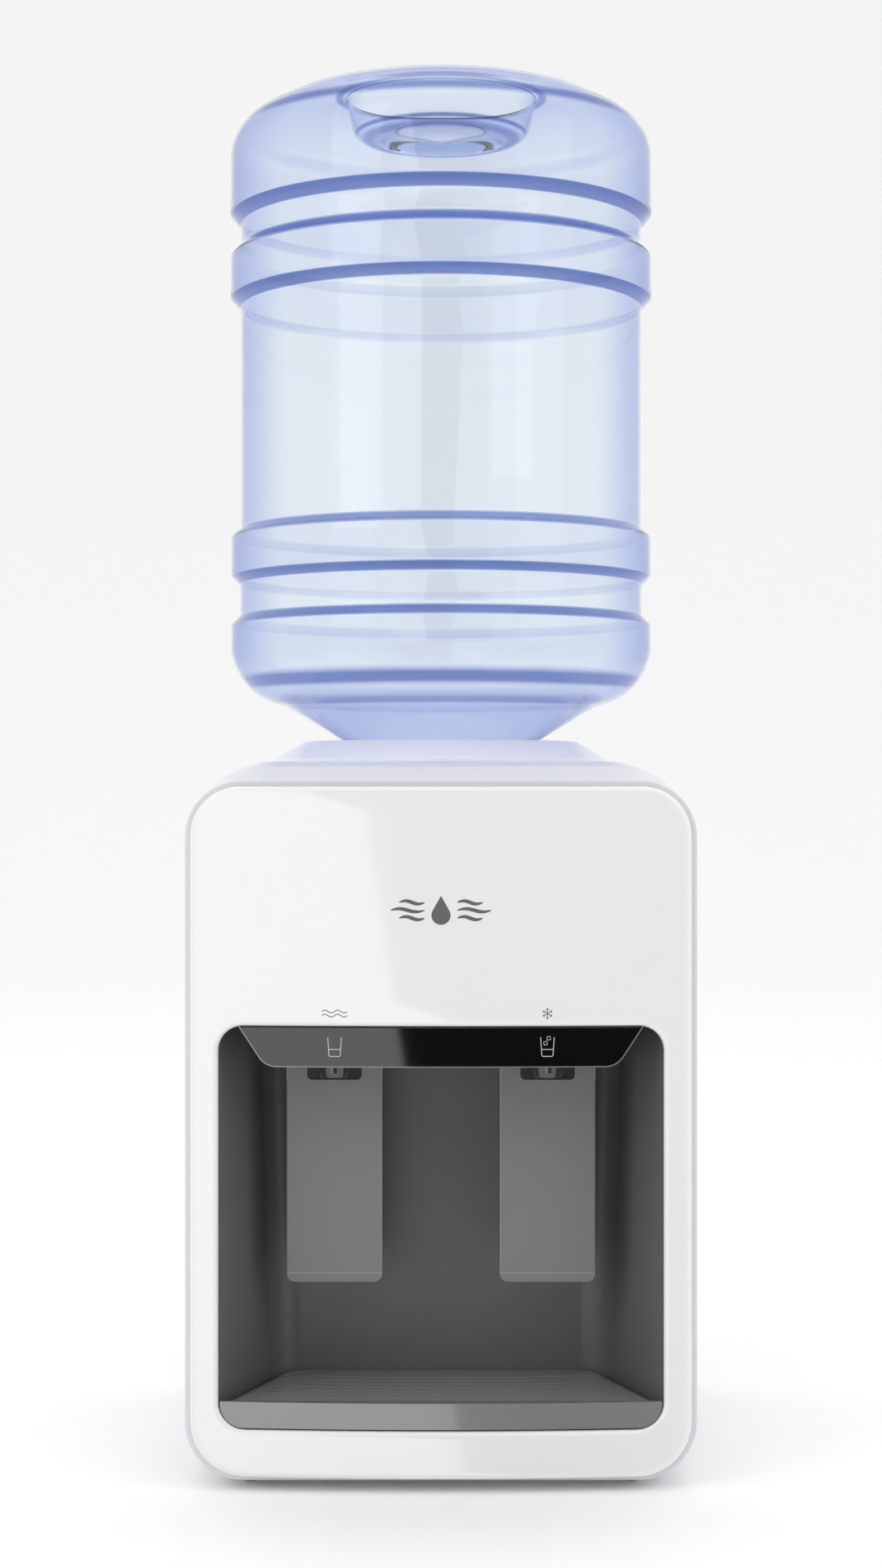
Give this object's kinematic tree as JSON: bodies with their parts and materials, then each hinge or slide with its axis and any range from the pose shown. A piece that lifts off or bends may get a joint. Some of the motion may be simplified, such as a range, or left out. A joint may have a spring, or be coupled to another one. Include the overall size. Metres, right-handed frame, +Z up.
{
  "type": "countertop water dispenser",
  "caption": "Countertop water dispenser with an inverted bottle, push levers over an alcove, and a slide-out drip tray.",
  "frame": {"origin": "on the counter, under the middle of the whole object; the bottle's axis is the Z axis", "axes": "+X to the right as one faces it, -Y to the front, +Z up"},
  "size_m": [0.302, 0.33, 0.858],
  "materials": {
    "housing_white": "satin moulded",
    "panel_white": "high gloss",
    "rear_white": "powder coat",
    "liner_grey": "satin",
    "fascia_black": "high gloss",
    "hood_dark": "fine grain",
    "lever_grey": "fine grain",
    "nozzle_dark": "gloss",
    "tray_grey": "satin",
    "grille_grey": "fine grain",
    "collar_white": "satin",
    "bottle_blue": "clear tinted",
    "cap_blue": "moulded",
    "black_rubber": "matte",
    "screw_steel": "zinc plated",
    "zinc_steel": "galvanised",
    "spring_steel": "bright wire",
    "tank_steel": "drawn",
    "valve_white": "moulded",
    "stem_acetal": "moulded",
    "silicone_hose": "translucent",
    "spout_white": "moulded",
    "foam_grey": "expanded foam",
    "copper": "drawn tube",
    "compressor_black": "gloss enamel",
    "cast_core": "cast",
    "relay_black": "moulded",
    "condenser_black": "satin enamel",
    "knob_grey": "moulded"
  },
  "bodies": {
    "casing": {"alcove_liner": "liner_grey", "base_plate": "zinc_steel", "base_screws": "screw_steel", "capillary_line": "copper", "cold_tank": "tank_steel", "compressor_bolts": "screw_steel", "compressor_grommets": "black_rubber", "compressor_lower_shell": "compressor_black", "compressor_upper_shell": "compressor_black", "condenser_brackets": "relay_black", "condenser_tube": "condenser_black", "condenser_wires": "condenser_black", "control_fascia": "fascia_black", "cord_gland": "relay_black", "discharge_line": "copper", "drain_hose": "silicone_hose", "drain_spout": "spout_white", "evaporator_coil": "copper", "filter_dryer": "copper", "front_panel": "panel_white", "hose_clamps": "spring_steel", "hose_cold": "silicone_hose", "hose_natural": "silicone_hose", "insulation_left": "foam_grey", "insulation_right": "foam_grey", "lever_pins": "screw_steel", "main_housing": "housing_white", "nozzle_cold": "nozzle_dark", "nozzle_hood": "hood_dark", "nozzle_natural": "nozzle_dark", "pump_core": "cast_core", "rear_panel": "rear_white", "rear_panel_screws": "screw_steel", "rubber_feet": "black_rubber", "sensor_line": "copper", "separator_disc": "valve_white", "start_relay_box": "relay_black", "suction_line": "copper", "tank_shelf": "zinc_steel", "terminal_block": "spout_white", "thermostat": "relay_black", "valve_body_cold": "valve_white", "valve_body_natural": "valve_white", "valve_bonnet_cold": "valve_white", "valve_bonnet_natural": "valve_white"},
    "collar": {"bottle_collar": "collar_white", "collar_gasket": "black_rubber", "piercing_spike": "collar_white"},
    "bottle": {"water_bottle": "bottle_blue", "bottle_cap": "cap_blue"},
    "lever_natural": {"lever_natural": "lever_grey"},
    "lever_cold": {"lever_cold": "lever_grey"},
    "stem_natural": {"valve_stem_natural": "stem_acetal", "valve_spring_natural": "spring_steel"},
    "stem_cold": {"valve_stem_cold": "stem_acetal", "valve_spring_cold": "spring_steel"},
    "tray": {"drip_tray": "tray_grey"},
    "grille": {"drip_grille": "grille_grey"},
    "knob": {"thermostat_knob": "knob_grey"},
    "drain_cap": {"drain_cap": "spout_white"}
  },
  "joints": [
    {"name": "collar_lift", "type": "slide", "parent": "casing", "child": "collar", "axis": [0, 0, 1], "range_m": [0, 0.08]},
    {"name": "bottle_lift", "type": "slide", "parent": "collar", "child": "bottle", "axis": [0, 0, 1], "range_m": [0, 0.12]},
    {"name": "lever_natural_push", "type": "hinge", "parent": "casing", "child": "lever_natural", "pos_m": [-0.0645, -0.135, 0.268], "axis": [1, 0, 0], "range_deg": [0, 8], "stiffness_Nm_per_rad": 0.5, "springref_deg": -11.46},
    {"name": "lever_cold_push", "type": "hinge", "parent": "casing", "child": "lever_cold", "pos_m": [0.0645, -0.135, 0.268], "axis": [1, 0, 0], "range_deg": [0, 8], "stiffness_Nm_per_rad": 0.5, "springref_deg": -11.46},
    {"name": "stem_natural_rise", "type": "slide", "parent": "casing", "child": "stem_natural", "axis": [0, 0, 1], "range_m": [0, 0.003], "deforming": ["valve_spring_natural"]},
    {"name": "stem_cold_rise", "type": "slide", "parent": "casing", "child": "stem_cold", "axis": [0, 0, 1], "range_m": [0, 0.003], "deforming": ["valve_spring_cold"]},
    {"name": "tray_slide", "type": "slide", "parent": "casing", "child": "tray", "axis": [0, -1, 0], "range_m": [0, 0.125]},
    {"name": "grille_lift", "type": "slide", "parent": "tray", "child": "grille", "axis": [0, 0, 1], "range_m": [0, 0.03]},
    {"name": "thermostat_turn", "type": "hinge", "parent": "casing", "child": "knob", "pos_m": [0.126, 0.155, 0.33], "axis": [0, 1, 0], "range_deg": [0, 270]},
    {"name": "drain_cap_pull", "type": "slide", "parent": "casing", "child": "drain_cap", "axis": [0, 1, 0], "range_m": [0, 0.02]}
  ],
  "couplings": [
    {"joint": "stem_natural_rise", "follows": "lever_natural_push", "m_per_rad": 0.0206},
    {"joint": "stem_cold_rise", "follows": "lever_cold_push", "m_per_rad": 0.0206}
  ]
}
